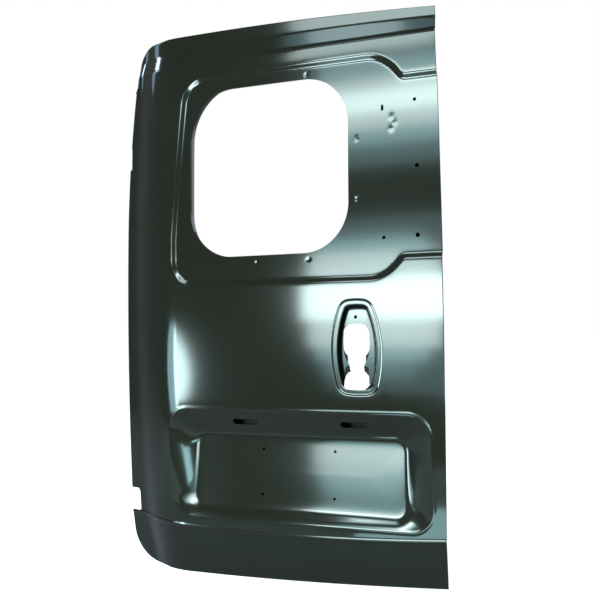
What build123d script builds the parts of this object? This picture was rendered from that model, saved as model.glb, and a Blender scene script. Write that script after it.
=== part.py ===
"""Rear barn door shell of a small van: pressed outer skin, inner panels and reinforcements.

Frame: millimetres, +Z up, the outer face looks along -Y, the hinges are on the -X side.
The origin is the middle of the lower hinge seat, so x is measured from the hinge seats,
z from the lower hinge, and depths from the outer face.
"""
import os
from math import asin, atan2, cos, degrees, radians, sin, tan

from build123d import *

# Sheet and hem
sheet = 1.2                      # thickness of every pressed panel
hem_width = 12.0                 # outer skin folded back over the inner panel's flange
weld_gap = 0.2                   # room between sheets that lie on each other
panel_depth = 60.0               # outer face to the front of the inner panel

# Outline, seen from outside
hinge_spacing = 867.0            # upper hinge above the lower one
lock_edge_x = 803.0              # lock-side edge at mid height
lock_edge_bow = 15.0             # how far its ends lie inside the middle
top_above_hinge = 281.0          # highest point of the top edge, above the upper hinge
top_drop = 18.0                  # how much lower the top edge is at the lock side
bottom_z = -160.0                # lowest point of the bottom edge
bottom_mid_rise = 4.0            # how much higher the bottom edge is at its middle
bottom_rise = 22.0               # and at the lock side
hinge_edge_low_x = -63.0         # hinge-side edge at the bottom
hinge_edge_mid_x = -44.0         # hinge-side edge where it starts to curve inwards
hinge_edge_bend = 214.0          # that place, below the upper hinge
hinge_edge_top_x = -4.0          # hinge-side edge at the top corner
top_corner_radius = 48.0
bottom_corner_radius = 80.0

# Crown of the outer face
face_y = -121.5                  # outermost face, ahead of the hinge seats
crown_radius = 6500.0            # up and down
crown_z = 417.0                  # level of the outermost point
plan_radius = 16000.0            # from the lock edge to the wrap
plan_overrun = 15.0              # the crown's apex lies this far past the lock edge
wrap_x = 135.0                   # start of the tighter wrap at the hinge side
wrap_radius = 230.0
wrap_angle = 42.0                # slope of the face at the end of the wrap
lip_angle = 15.0                 # slope of the hinge-side lip
lip_length = 90.0                # drawn long, trimmed by the outline

# Creases along the bottom and the top
skirt_z = -31.0                  # crease above the skirt
skirt_setback = 26.0             # skirt's lower end behind the crease
top_crease_drop = 73.0           # crease below the top edge
top_joggle = 4.0                 # depth and height of the small step at the crease
top_band_drop = 31.0             # upper end of the sloping band, below the top edge
top_band_setback = 11.0
top_flange_setback = 4.0
section_overrun = 20.0           # sections run this far past the outline

# Window
window_left_x = 177.0
window_right_x = 588.0
window_low_z = 603.0
window_high_z = 1003.0
window_corner_radius = 112.0
window_return = 7.0              # turned-in edge of the skin
window_flange = 24.0             # weld flange of the inner panel round the opening

# Shallow recess round the window, running out at the lock edge
recess_depth = 5.0
recess_left_x = 127.0
recess_top_left_x = 160.0
recess_low_z = 539.0
recess_high_z = 1035.0
pillar_low_z = 585.0             # recess edges on the lock-side pillar
pillar_high_z = 982.0
pillar_x = 715.0                 # where the recess edge steps to the pillar
pillar_run = 42.0                # width of that step
recess_bend_z = 650.0            # bend in the hinge-side edge
recess_corner_radius = 60.0
recess_bend_radius = 300.0
recess_step_radius = 90.0        # where its edge turns towards the pillar
pillar_step_radius = 20.0        # where it meets the pillar's edge

# Number plate recess
plate_centre_x = 433.0
plate_centre_z = 96.5
plate_floor_width = 540.0
plate_floor_height = 177.0
plate_floor_radius = 30.0
plate_floor_depth = 40.0         # floor's middle behind the outermost face
plate_tilt = 6.5                 # the floor leans back at its top
plate_mouth_width = 747.0
plate_mouth_height = 295.0
plate_mouth_radius = 85.0
plate_mouth_shift_x = -28.5      # the mouth is not centred on the floor
plate_mouth_shift_z = 8.0
plate_wall_spread = 2.2          # a sloping wall's thickness, measured across
plate_hole_spacing_x = 183.0
plate_hole_spacing_z = 106.0
plate_hole_shift_x = 4.0         # the holes' middle from the floor's middle
plate_hole_diameter = 6.6
lamp_slot_length = 68.0
lamp_slot_height = 14.0
lamp_slot_z = 213.0
lamp_slot_xs = (306.0, 582.0)

# Handle recess
handle_x = 602.5
handle_z = 405.0                 # level of its widest place
handle_wide_half = 62.0          # half widths of its rim there, at the top and at the bottom
handle_top_half = 36.0
handle_bottom_half = 45.0
handle_rise = 91.0               # top edge above the widest place
handle_drop = 126.0              # bottom edge below it
handle_end_bow = 4.0             # its top and bottom edges bow outwards
handle_rim = 8.0                 # flat rim round the deep part
handle_top_radius = 27.0
handle_bottom_radius = 29.0
handle_depth = 16.0
handle_wall_run = 8.5            # how far its walls lean in over that depth
handle_hole_x = 597.0
handle_lobe_width = 60.0
handle_lobe_height = 78.0
handle_lobe_z = 404.0
handle_lobe_radius = 26.0
handle_foot_width = 56.0
handle_foot_height = 46.0
handle_foot_z = 310.0
handle_foot_radius = 17.0
handle_neck_width = 40.0
handle_tab_height = 14.0
handle_tab_depth = 11.0
handle_pin_hole_z = 456.0
handle_pin_hole_diameter = 8.0
handle_plate_thickness = 1.5
handle_plate_margin = 1.5

# Holes in the lock-side pillar: x, z, diameter
pillar_holes = ((743.5, 927.0, 8.0), (748.0, 782.0, 9.0), (748.0, 631.0, 10.0), (670.5, 629.0, 8.0))
pillar_slot_x = 669.0
pillar_slot_z = 916.0
pillar_slot_width = 6.0
pillar_slot_height = 14.0

# Inner panel
lock_wall_x = 772.0              # shut face on the lock side
inner_top_drop = 86.0            # inner panel's top below the door's top edge
inner_low_z = -118.0
inner_top_hinge_x = 24.0         # hinge wall at its top, where it leans in
inner_lean = 63.0                # it starts to lean this far above the upper hinge
inner_corner_radius = 40.0
panel_joint_drop = 9.0           # the inner panels meet this far below the window recess
access_radius = 45.0
access_openings = ((265.0, 390.0, 400.0, 200.0), (594.0, 362.0, 190.0, 175.0),
                   (175.0, 80.0, 220.0, 200.0), (640.0, 80.0, 190.0, 200.0))

# Hinge side
seat_pad = 1.5                   # hinge seats stand proud of the hinge wall
seat_width = 22.0
seat_height = 76.0
hinge_hole_spacing = 48.0
hinge_hole_diameter = 9.0
hinge_notch_height = 57.0        # gap in the lip at each hinge
hinge_notch_x = -30.0            # its inner end
hinge_plate_thickness = 3.0
hinge_plate_width = 24.0
hinge_plate_height = 110.0
strap_y = -26.0                  # check strap slot, between the hinges
strap_z = 420.0
strap_slot_width = 10.0
strap_slot_height = 34.0
strap_hole_spacing = 56.0
strap_hole_diameter = 7.0
strap_plate_height = 80.0

# Lock side
lock_z = 405.0
lock_slot_width = 20.0
lock_slot_height = 58.0
lock_slot_radius = 4.0
lock_hole_spacing = 84.0
lock_hole_diameter = 7.0
lock_plate_height = 110.0
upper_latch_rise = 73.0          # upper latch above the upper hinge
lower_latch_rise = 20.0          # lower latch above the lower hinge
latch_slot_height = 36.0
latch_hole_spacing = 60.0
latch_plate_height = 84.0
lock_plate_thickness = 2.0
lock_plate_width = 34.0
plate_corner_radius = 5.0

# Waist rail
rail_low_z = 508.0
rail_high_z = 527.0
rail_flange = 9.0
rail_depth = 28.0
rail_left_x = 40.0
rail_right_x = 760.0

os.makedirs("parts", exist_ok=True)

# Places worked out from the sizes above
top_z = hinge_spacing + top_above_hinge
top_crease_z = top_z - top_crease_drop
top_band_z = top_z - top_band_drop
hinge_edge_mid_z = hinge_spacing - hinge_edge_bend
inner_top_z = top_z - inner_top_drop
inner_lean_z = hinge_spacing + inner_lean
apex_x = lock_edge_x + plan_overrun
plan_slope = degrees(asin((apex_x - wrap_x) / plan_radius))
wrap_y = face_y + plan_radius * (1 - cos(radians(plan_slope)))
front = Plane.XZ.offset(-face_y + 50)       # drawing plane ahead of the door
through = 400.0                              # longer than the door is deep
panel_joint_z = recess_low_z - panel_joint_drop
weld_depth = sheet + weld_gap                # sheets welded to the skin lie this deep
hem_depth = weld_depth + sheet + weld_gap + sheet
wall_reach = 20.0                            # cuts through a side wall stop this far in
latch_zs = {
    "upper_latch_reinforcement": hinge_spacing + upper_latch_rise,
    "lower_latch_reinforcement": lower_latch_rise,
}
handle_wall_slope = atan2(handle_wall_run, handle_depth)
handle_wall_spread = 1 / cos(handle_wall_slope)               # the wall's thickness, measured across
handle_floor_spread = handle_wall_spread - tan(handle_wall_slope)


def inward(slope):
    """Unit vector into the door where the face slopes by this angle."""
    return Vector(sin(radians(slope)), cos(radians(slope)), 0)


def section_plane(x, y, slope):
    """Upright plane across the face: local x runs into the door, local y up."""
    return Plane(origin=(x, y, 0), x_dir=inward(slope), z_dir=inward(slope).cross(Vector(0, 0, 1)))


wrap_centre = Vector(wrap_x, wrap_y, 0) + inward(plan_slope) * wrap_radius
wrap_end = wrap_centre - inward(wrap_angle) * wrap_radius


def crown_setback(z):
    """Depth of the crowned face at a level, behind its outermost point."""
    return crown_radius - (crown_radius ** 2 - (z - crown_z) ** 2) ** 0.5


def section_points(depth):
    """Corners of the face's upright section, moved inwards by depth."""
    foot = crown_setback(skirt_z)
    head = crown_setback(top_crease_z)
    low_end = bottom_z - section_overrun
    high_end = top_z + section_overrun
    skirt_run = (skirt_z - low_end) / (skirt_z - bottom_z)
    return [
        (depth + foot + skirt_setback * skirt_run, low_end),
        (depth + foot, skirt_z),
        (depth + head, top_crease_z),
        (depth + head + top_joggle, top_crease_z + top_joggle),
        (depth + head + top_joggle + top_band_setback, top_band_z),
        (depth + head + top_joggle + top_band_setback + top_flange_setback, high_end),
    ]


def layer_section(outer, inner):
    """Upright section of the layer between two depths behind the face."""
    with BuildSketch() as section:
        with BuildLine():
            for depth in (outer, inner):
                low, crease, *high = section_points(depth)
                Line(low, crease)
                ThreePointArc(crease, (depth, crown_z), high[0])
                Polyline(*high)
            for end in (0, -1):
                Line(section_points(outer)[end], section_points(inner)[end])
        make_face()
    return section.sketch


def layer(outer, inner):
    """The door's curved form between two depths behind its outer face, before trimming."""
    section = layer_section(outer, inner)
    down = (0, 0, -1)
    with BuildPart() as form:
        with BuildSketch(section_plane(apex_x, face_y, 0)):
            add(section)
        revolve(axis=Axis((apex_x, face_y + plan_radius, 0), down), revolution_arc=plan_slope)
        with BuildSketch(section_plane(wrap_x, wrap_y, plan_slope)):
            add(section)
        revolve(axis=Axis(wrap_centre, down), revolution_arc=wrap_angle - plan_slope)
        with BuildSketch(section_plane(wrap_end.X, wrap_end.Y, wrap_angle)):
            add(section)
        extrude(amount=lip_length, dir=(-cos(radians(lip_angle)), sin(radians(lip_angle)), 0))
    return form.part


def trimmed(form, region, mode=Mode.INTERSECT):
    """A form kept inside a region drawn from outside, or cut out by it."""
    with BuildPart() as piece:
        add(form)
        with BuildSketch(front):
            add(region)
        extrude(amount=-through, mode=mode)
    return piece.part


def band(outer, inner):
    """Region between two outlines."""
    with BuildSketch() as ring:
        add(outer)
        add(inner, mode=Mode.SUBTRACT)
    return ring.sketch


def overlap(one, other):
    """Region that two outlines share."""
    with BuildSketch() as common:
        add(one)
        add(other, mode=Mode.INTERSECT)
    return common.sketch


def grown(region, amount):
    """Region with its outline moved outwards, or inwards for a negative amount."""
    if amount == 0:
        return region
    with BuildSketch() as bigger:
        offset(region, amount=amount)
    return bigger.sketch


# Outlines, drawn as seen from outside: x across, z up
with BuildSketch() as outline_sketch:
    lock_low = (lock_edge_x - lock_edge_bow, bottom_z + bottom_rise)
    lock_high = (lock_edge_x - lock_edge_bow, top_z - top_drop)
    hinge_low = (hinge_edge_low_x, bottom_z)
    hinge_mid = (hinge_edge_mid_x, hinge_edge_mid_z)
    hinge_high = (hinge_edge_top_x, top_z)
    middle_x = (lock_edge_x + hinge_edge_low_x) / 2
    with BuildLine():
        ThreePointArc(lock_low, (lock_edge_x, (bottom_z + top_z) / 2), lock_high)
        ThreePointArc(lock_high, (middle_x, top_z), hinge_high)
        lower_edge = Line(hinge_low, hinge_mid)
        TangentArc(hinge_mid, hinge_high, tangent=lower_edge % 1)
        ThreePointArc(hinge_low, (middle_x, bottom_z + bottom_mid_rise), lock_low)
    make_face()
    for corner, radius in ((hinge_high, top_corner_radius), (hinge_low, bottom_corner_radius)):
        fillet(outline_sketch.vertices().sort_by_distance((*corner, 0))[0], radius)
outline = outline_sketch.sketch

with BuildSketch() as window_sketch:
    with Locations(((window_left_x + window_right_x) / 2, (window_low_z + window_high_z) / 2)):
        RectangleRounded(window_right_x - window_left_x, window_high_z - window_low_z, window_corner_radius)
window = window_sketch.sketch

with BuildSketch() as recess_sketch:
    past_lock = lock_edge_x + plan_overrun
    with BuildLine():
        FilletPolyline(
            (past_lock, pillar_low_z), (pillar_x, pillar_low_z), (pillar_x - pillar_run, recess_low_z),
            (recess_left_x, recess_low_z), (recess_left_x, recess_bend_z), (recess_top_left_x, recess_high_z),
            (pillar_x - pillar_run, recess_high_z), (pillar_x, pillar_high_z), (past_lock, pillar_high_z),
            radius=[0, pillar_step_radius, recess_step_radius, recess_corner_radius, recess_bend_radius,
                    recess_corner_radius, recess_step_radius, pillar_step_radius, 0],
            close=True,
        )
    make_face()
recess = recess_sketch.sketch

with BuildSketch() as inner_sketch:
    with BuildLine():
        FilletPolyline(
            (lock_wall_x, inner_low_z), (lock_wall_x, inner_top_z), (inner_top_hinge_x, inner_top_z),
            (seat_pad, inner_lean_z), (seat_pad, inner_low_z),
            radius=[inner_corner_radius, inner_corner_radius, inner_corner_radius, 0, inner_corner_radius],
            close=True,
        )
    make_face()
inner_outline = inner_sketch.sketch

with BuildSketch() as access_sketch:
    for x, z, width, height in access_openings:
        with Locations((x, z)):
            RectangleRounded(width, height, access_radius)
access = access_sketch.sketch


def handle_outline(inset):
    """Rounded outline of the handle recess, drawn smaller by inset: bowed sides, top and bottom."""
    top = handle_z + handle_rise - inset
    low = handle_z - handle_drop + inset
    top_half = handle_top_half - inset
    bottom_half = handle_bottom_half - inset
    with BuildSketch() as drawn:
        with BuildLine():
            for side in (-1, 1):
                ThreePointArc((handle_x + side * top_half, top),
                              (handle_x + side * (handle_wide_half - inset), handle_z),
                              (handle_x + side * bottom_half, low))
            ThreePointArc((handle_x - top_half, top), (handle_x, top + handle_end_bow), (handle_x + top_half, top))
            ThreePointArc((handle_x - bottom_half, low), (handle_x, low - handle_end_bow),
                          (handle_x + bottom_half, low))
        make_face()
        fillet(drawn.vertices().group_by(Axis.Y)[-1], handle_top_radius - inset)
        fillet(drawn.vertices().group_by(Axis.Y)[0], handle_bottom_radius - inset)
    return drawn.sketch


with BuildSketch() as handle_hole_sketch:
    with Locations((handle_hole_x, handle_lobe_z)):
        RectangleRounded(handle_lobe_width, handle_lobe_height, handle_lobe_radius)
    with Locations((handle_hole_x, handle_foot_z)):
        RectangleRounded(handle_foot_width, handle_foot_height, handle_foot_radius)
    with Locations((handle_hole_x, (handle_lobe_z + handle_foot_z) / 2)):
        Rectangle(handle_neck_width, handle_lobe_z - handle_foot_z)
handle_hole = handle_hole_sketch.sketch

with BuildSketch() as notch_sketch:
    notch_width = hinge_notch_x - hinge_edge_low_x + section_overrun
    for z in (0, hinge_spacing):
        with Locations((hinge_notch_x - notch_width / 2, z)):
            Rectangle(notch_width, hinge_notch_height)
notches = notch_sketch.sketch

# The face lies at two levels: the main face, and the recess round the window
zones = ((0.0, band(outline, recess)), (recess_depth, overlap(outline, recess)))
skin_inside = grown(outline, -sheet)
edge_wall = band(outline, skin_inside)
hem_band = band(skin_inside, grown(outline, -hem_width))
body_form = layer(0, panel_depth)


def plate_floor_plane(extra):
    """Plane of the number plate's floor, moved inwards by extra: local x across, local y up the floor."""
    lean = radians(plate_tilt)
    outwards = Vector(0, -cos(lean), sin(lean))
    middle = Vector(plate_centre_x, face_y + plate_floor_depth, plate_centre_z)
    return Plane(origin=middle - outwards * extra, x_dir=(1, 0, 0), z_dir=outwards)


def plate_pocket(extra):
    """Form of the number plate recess, with its walls and floor moved outwards."""
    lean = plate_wall_spread * extra
    with BuildPart() as pocket:
        with BuildSketch(Plane.XZ.offset(-face_y)):
            with Locations((plate_centre_x + plate_mouth_shift_x, plate_centre_z + plate_mouth_shift_z)):
                RectangleRounded(plate_mouth_width + 2 * lean, plate_mouth_height + 2 * lean,
                                 plate_mouth_radius + lean)
        with BuildSketch(plate_floor_plane(extra)):
            RectangleRounded(plate_floor_width + extra, plate_floor_height + extra, plate_floor_radius)
        loft(ruled=True)
    return pocket.part


def handle_pocket(extra):
    """Form of the handle recess inside its rim, with its walls and floor moved outwards."""
    with BuildPart() as pocket:
        with BuildSketch(Plane.XZ.offset(-face_y)):
            add(handle_outline(handle_rim - extra * handle_wall_spread))
        with BuildSketch(Plane.XZ.offset(-face_y - handle_depth - extra)):
            add(handle_outline(handle_rim + handle_wall_run - extra * handle_floor_spread))
        loft(ruled=True)
    return pocket.part


def pressed_pocket(form):
    """Sheet that lines a recess, trimmed where it meets the face."""
    with BuildPart() as lining:
        add(form(sheet))
        add(form(0), mode=Mode.SUBTRACT)
        add(body_form, mode=Mode.INTERSECT)
    return lining.part


# Outer skin: face at two levels, step between them, hem, then its holes
with BuildSketch() as skin_hole_sketch:
    add(notches)
    for x, z, diameter in pillar_holes:
        with Locations((x, z)):
            Circle(diameter / 2)
    with Locations((pillar_slot_x, pillar_slot_z)):
        SlotOverall(pillar_slot_height, pillar_slot_width, rotation=90)
skin_holes = skin_hole_sketch.sketch

with BuildPart() as outer_skin:
    for level, zone in zones:
        add(trimmed(layer(level, level + sheet), band(zone, window)))
        add(trimmed(layer(level + sheet, level + hem_depth), overlap(zone, edge_wall)))
        add(trimmed(layer(level + hem_depth - sheet, level + hem_depth), overlap(zone, hem_band)))
    step = overlap(outline, band(recess, grown(recess, -sheet)))
    add(trimmed(layer(0, recess_depth), step))
    window_edge = band(grown(window, sheet), window)
    add(trimmed(layer(recess_depth + sheet, recess_depth + window_return), window_edge))
    for form in (plate_pocket, handle_pocket):
        add(form(sheet + weld_gap), mode=Mode.SUBTRACT)
    with BuildSketch(front):
        add(skin_holes)
    extrude(amount=-through, mode=Mode.SUBTRACT)

# Number plate recess: slots for the lamps, and holes square to the leaning floor
with BuildSketch() as lamp_slot_sketch:
    for x in lamp_slot_xs:
        with Locations((x, lamp_slot_z)):
            SlotOverall(lamp_slot_length, lamp_slot_height)

with BuildPart() as plate_recess:
    add(pressed_pocket(plate_pocket))
    with BuildSketch(front):
        add(lamp_slot_sketch.sketch)
    extrude(amount=-through, mode=Mode.SUBTRACT)
    with BuildSketch(plate_floor_plane(0)):
        with Locations((plate_hole_shift_x, 0)):
            with GridLocations(plate_hole_spacing_x, plate_hole_spacing_z, 2, 2):
                Circle(plate_hole_diameter / 2)
    extrude(amount=wall_reach, both=True, mode=Mode.SUBTRACT)

# Handle recess: keyhole, pin hole, and two tabs turned in at the neck
with BuildSketch() as handle_cut_sketch:
    add(handle_hole)
    with Locations((handle_hole_x, handle_pin_hole_z)):
        Circle(handle_pin_hole_diameter / 2)

with BuildPart() as handle_recess:
    add(trimmed(pressed_pocket(handle_pocket), handle_cut_sketch.sketch, Mode.SUBTRACT))
    tab_z = (handle_lobe_z - handle_lobe_height / 2 + handle_foot_z + handle_foot_height / 2) / 2
    with BuildSketch(Plane.XZ.offset(-face_y - handle_depth)):
        for side in (-1, 1):
            with Locations((handle_hole_x + side * (handle_neck_width + sheet) / 2, tab_z)):
                Rectangle(sheet, handle_tab_height)
    extrude(amount=-handle_tab_depth)

# Holes in the hinge wall and in the lock wall, drawn across y and z
with BuildSketch() as hinge_hole_sketch:
    for z in (0, hinge_spacing):
        with Locations((0, z)):
            with GridLocations(0, hinge_hole_spacing, 1, 2):
                Circle(hinge_hole_diameter / 2)
    with Locations((strap_y, strap_z)):
        SlotOverall(strap_slot_height, strap_slot_width, rotation=90)
        with GridLocations(0, strap_hole_spacing, 1, 2):
            Circle(strap_hole_diameter / 2)
hinge_side_holes = hinge_hole_sketch.sketch


def lock_wall_y(z):
    """Middle of the lock wall's depth at a level."""
    return face_y + crown_setback(z) + panel_depth / 2


with BuildSketch() as lock_hole_sketch:
    with Locations((lock_wall_y(lock_z), lock_z)):
        RectangleRounded(lock_slot_width, lock_slot_height, lock_slot_radius)
        with GridLocations(0, lock_hole_spacing, 1, 2):
            Circle(lock_hole_diameter / 2)
    for z in latch_zs.values():
        with Locations((lock_wall_y(z), z)):
            RectangleRounded(lock_slot_width, latch_slot_height, lock_slot_radius)
            with GridLocations(0, latch_hole_spacing, 1, 2):
                Circle(lock_hole_diameter / 2)
lock_side_holes = lock_hole_sketch.sketch

# Inner panels: back sheet, walls round the rim and the window, weld flanges
window_wall = band(grown(window, window_flange), grown(window, window_flange - sheet))
window_weld = band(grown(window, window_flange - sheet), grown(window, weld_depth))
rim_wall = band(inner_outline, grown(inner_outline, -sheet))
rim_flange = band(grown(outline, -weld_depth), inner_outline)
back_region = band(band(inner_outline, grown(window, window_flange - sheet)), access)


def level_share(low_z, high_z):
    """Region between two levels, wider than the door."""
    with BuildSketch() as share:
        with Locations((lock_edge_x / 2, (low_z + high_z) / 2)):
            Rectangle(2 * lock_edge_x, high_z - low_z)
    return share.sketch


def inner_sheet(share):
    """Back sheet of the inner pressing, with its openings."""
    return trimmed(layer(panel_depth, panel_depth + sheet), overlap(back_region, share))


def inner_rim(share, hinge_z, levels, depth):
    """Walls and weld flange round the inner pressing, as deep as depth, with the hinge seat at hinge_z."""
    with BuildPart() as rim:
        for level, zone in levels:
            near = overlap(zone, share)
            add(trimmed(layer(level + weld_depth, depth), overlap(near, rim_wall)))
            add(trimmed(layer(level + weld_depth, level + weld_depth + sheet), overlap(near, rim_flange)))
        with BuildSketch(front):
            add(notches)
        extrude(amount=-through, mode=Mode.SUBTRACT)
        with BuildSketch(Plane.YZ.offset(seat_pad)):
            with Locations((0, hinge_z)):
                Rectangle(seat_width, seat_height)
        extrude(amount=-seat_pad)
        with BuildSketch(Plane.YZ):
            add(hinge_side_holes)
        extrude(amount=wall_reach, mode=Mode.SUBTRACT)
        with BuildSketch(Plane.YZ.offset(lock_wall_x)):
            add(lock_side_holes)
        extrude(amount=-wall_reach, mode=Mode.SUBTRACT)
    return rim.part


upper_share = level_share(panel_joint_z, top_z + section_overrun)
lower_share = level_share(bottom_z - section_overrun, panel_joint_z)

with BuildPart() as upper_panel:
    add(inner_sheet(upper_share))
    add(inner_rim(upper_share, hinge_spacing, zones, panel_depth))
    frame_depth = recess_depth + weld_depth
    add(trimmed(layer(frame_depth, panel_depth), window_wall))
    add(trimmed(layer(frame_depth, frame_depth + sheet), window_weld))


def hinge_side_plate(y, z, height, thickness):
    """Flat plate behind the hinge wall, with the wall's holes."""
    with BuildPart() as plate:
        with BuildSketch(Plane.YZ.offset(seat_pad + sheet)):
            with Locations((y, z)):
                RectangleRounded(hinge_plate_width, height, plate_corner_radius)
            add(hinge_side_holes, mode=Mode.SUBTRACT)
        extrude(amount=thickness)
    return plate.part


def lock_side_plate(z, height):
    """Flat plate behind the lock wall, with the wall's holes."""
    with BuildPart() as plate:
        with BuildSketch(Plane.YZ.offset(lock_wall_x - sheet)):
            with Locations((lock_wall_y(z), z)):
                RectangleRounded(lock_plate_width, height, plate_corner_radius)
            add(lock_side_holes, mode=Mode.SUBTRACT)
        extrude(amount=-lock_plate_thickness)
    return plate.part


# Ring plate behind the handle recess, open at its foot
with BuildPart() as handle_plate:
    with BuildSketch(Plane.XZ.offset(-face_y - handle_depth - sheet)):
        add(handle_outline(handle_rim + handle_wall_run + handle_plate_margin))
        add(grown(handle_hole, handle_plate_margin), mode=Mode.SUBTRACT)
        with Locations((handle_hole_x, handle_pin_hole_z)):
            Circle(handle_pin_hole_diameter / 2, mode=Mode.SUBTRACT)
    extrude(amount=-handle_plate_thickness)


def strip(low_z, high_z):
    """Level strip along the waist rail."""
    with BuildSketch() as level_strip:
        with Locations(((rail_left_x + rail_right_x) / 2, (low_z + high_z) / 2)):
            Rectangle(rail_right_x - rail_left_x, high_z - low_z)
    return level_strip.sketch


# Waist rail: hat section on the back of the skin
with BuildPart() as rail:
    add(trimmed(layer(rail_depth, rail_depth + sheet), strip(rail_low_z, rail_high_z)))
    for wall_z in (rail_low_z, rail_high_z - sheet):
        add(trimmed(layer(weld_depth, rail_depth), strip(wall_z, wall_z + sheet)))
    for flange_z in (rail_low_z - rail_flange, rail_high_z):
        add(trimmed(layer(weld_depth, weld_depth + sheet), strip(flange_z, flange_z + rail_flange)))

pieces = {
    "outer_skin": outer_skin.part,
    "plate_recess": plate_recess.part,
    "handle_recess": handle_recess.part,
    "inner_panel_upper": upper_panel.part,
    "inner_panel_lower": inner_sheet(lower_share),
    "inner_rim_lower": inner_rim(lower_share, 0, zones[:1], panel_depth - weld_gap),
    "waist_rail": rail.part,
    "handle_reinforcement": handle_plate.part,
    "lower_hinge_reinforcement": hinge_side_plate(0, 0, hinge_plate_height, hinge_plate_thickness),
    "upper_hinge_reinforcement": hinge_side_plate(0, hinge_spacing, hinge_plate_height, hinge_plate_thickness),
    "check_strap_reinforcement": hinge_side_plate(strap_y, strap_z, strap_plate_height, hinge_plate_thickness),
    "lock_reinforcement": lock_side_plate(lock_z, lock_plate_height),
}
for name, z in latch_zs.items():
    pieces[name] = lock_side_plate(z, latch_plate_height)

for name, piece in pieces.items():
    piece.label = name
    export_step(piece, f"parts/{name}.step")
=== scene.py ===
# %% [markdown]
# # Rear barn door of a small van
# The real object is a door shell of thin pressed steel in dark, glossy dip primer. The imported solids
# already hold its sizes and its inner panels. What they lack is the look of a pressing: soft creases,
# rolled edges, dents and a film of primer that mirrors the room. This lesson makes the outer skin again
# as one computed surface, dresses the inner panels, and sets up a plain studio.

import bpy
import numpy as np
from mathutils import Matrix, Vector


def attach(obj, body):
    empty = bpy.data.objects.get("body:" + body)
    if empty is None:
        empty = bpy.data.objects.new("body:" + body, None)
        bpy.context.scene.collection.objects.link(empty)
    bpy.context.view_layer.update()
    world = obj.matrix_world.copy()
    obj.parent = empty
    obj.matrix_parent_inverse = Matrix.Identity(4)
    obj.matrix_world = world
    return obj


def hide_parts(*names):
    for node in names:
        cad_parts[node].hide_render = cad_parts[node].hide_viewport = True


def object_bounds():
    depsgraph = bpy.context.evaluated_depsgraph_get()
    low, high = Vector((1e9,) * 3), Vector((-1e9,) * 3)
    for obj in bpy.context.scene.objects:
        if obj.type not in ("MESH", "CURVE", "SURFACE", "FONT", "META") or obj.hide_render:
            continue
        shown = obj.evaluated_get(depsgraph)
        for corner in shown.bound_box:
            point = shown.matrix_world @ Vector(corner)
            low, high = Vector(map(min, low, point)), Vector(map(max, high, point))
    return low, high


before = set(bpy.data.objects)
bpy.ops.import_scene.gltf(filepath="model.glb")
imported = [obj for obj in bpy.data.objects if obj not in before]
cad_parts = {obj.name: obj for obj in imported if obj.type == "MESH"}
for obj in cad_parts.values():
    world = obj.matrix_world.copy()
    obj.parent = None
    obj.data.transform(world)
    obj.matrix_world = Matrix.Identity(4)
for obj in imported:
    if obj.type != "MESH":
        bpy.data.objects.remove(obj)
cad_low, cad_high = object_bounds()
METRES = 0.001
print("nodes:", sorted(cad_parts))

# %% [markdown]
# ## The face as a formula
# A press tool is one smooth surface, so the skin is written as one: for a place across the door (x) and
# up it (z) the formula gives how far back the sheet lies (y). Modelling it by hand with subdivision would
# ripple in the reflections, which a glossy dark panel shows at once. All values are millimetres. Most are
# those of the solids, and a few creases and recesses are fitted more closely to the real door here.

# %% Upright section: crown, skirt crease and the creases under the top edge
LEFT_X, RIGHT_X, LOW_Z, HIGH_Z = -63.0, 803.0, -160.0, 1148.0
MIDDLE_X, HALF_DOOR = 370.0, 418.0
FACE_Y = -121.5
CROWN_RADIUS, CROWN_Z = 6500.0, 417.0
SKIRT_Z, TOP_CREASE_Z, TOP_BAND_Z = -31.0, 1075.0, 1117.0
SKIRT_SOFT, TOP_SOFT, BAND_SOFT = 3.0, 2.5, 4.0
SKIRT_SLOPE = 26.0 / 129.0
JOGGLE_SLOPE, BAND_SLOPE, FLANGE_SLOPE = 1.0, 11.0 / 38.0, 4.0 / 51.0
JOGGLE, JOGGLE_END_X, JOGGLE_FADE = 4.0, 20.0, 150.0
BEAD_HEIGHT, BEAD_WIDTH = 1.6, 4.5
SKIRT_SAG, BAND_DROP = 15.0, 9.0


def soft_ramp(distance, softness):
    """Zero before a crease and the distance after it, rounded within about the softness."""
    return (distance + np.sqrt(distance ** 2 + softness ** 2)) / 2


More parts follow.
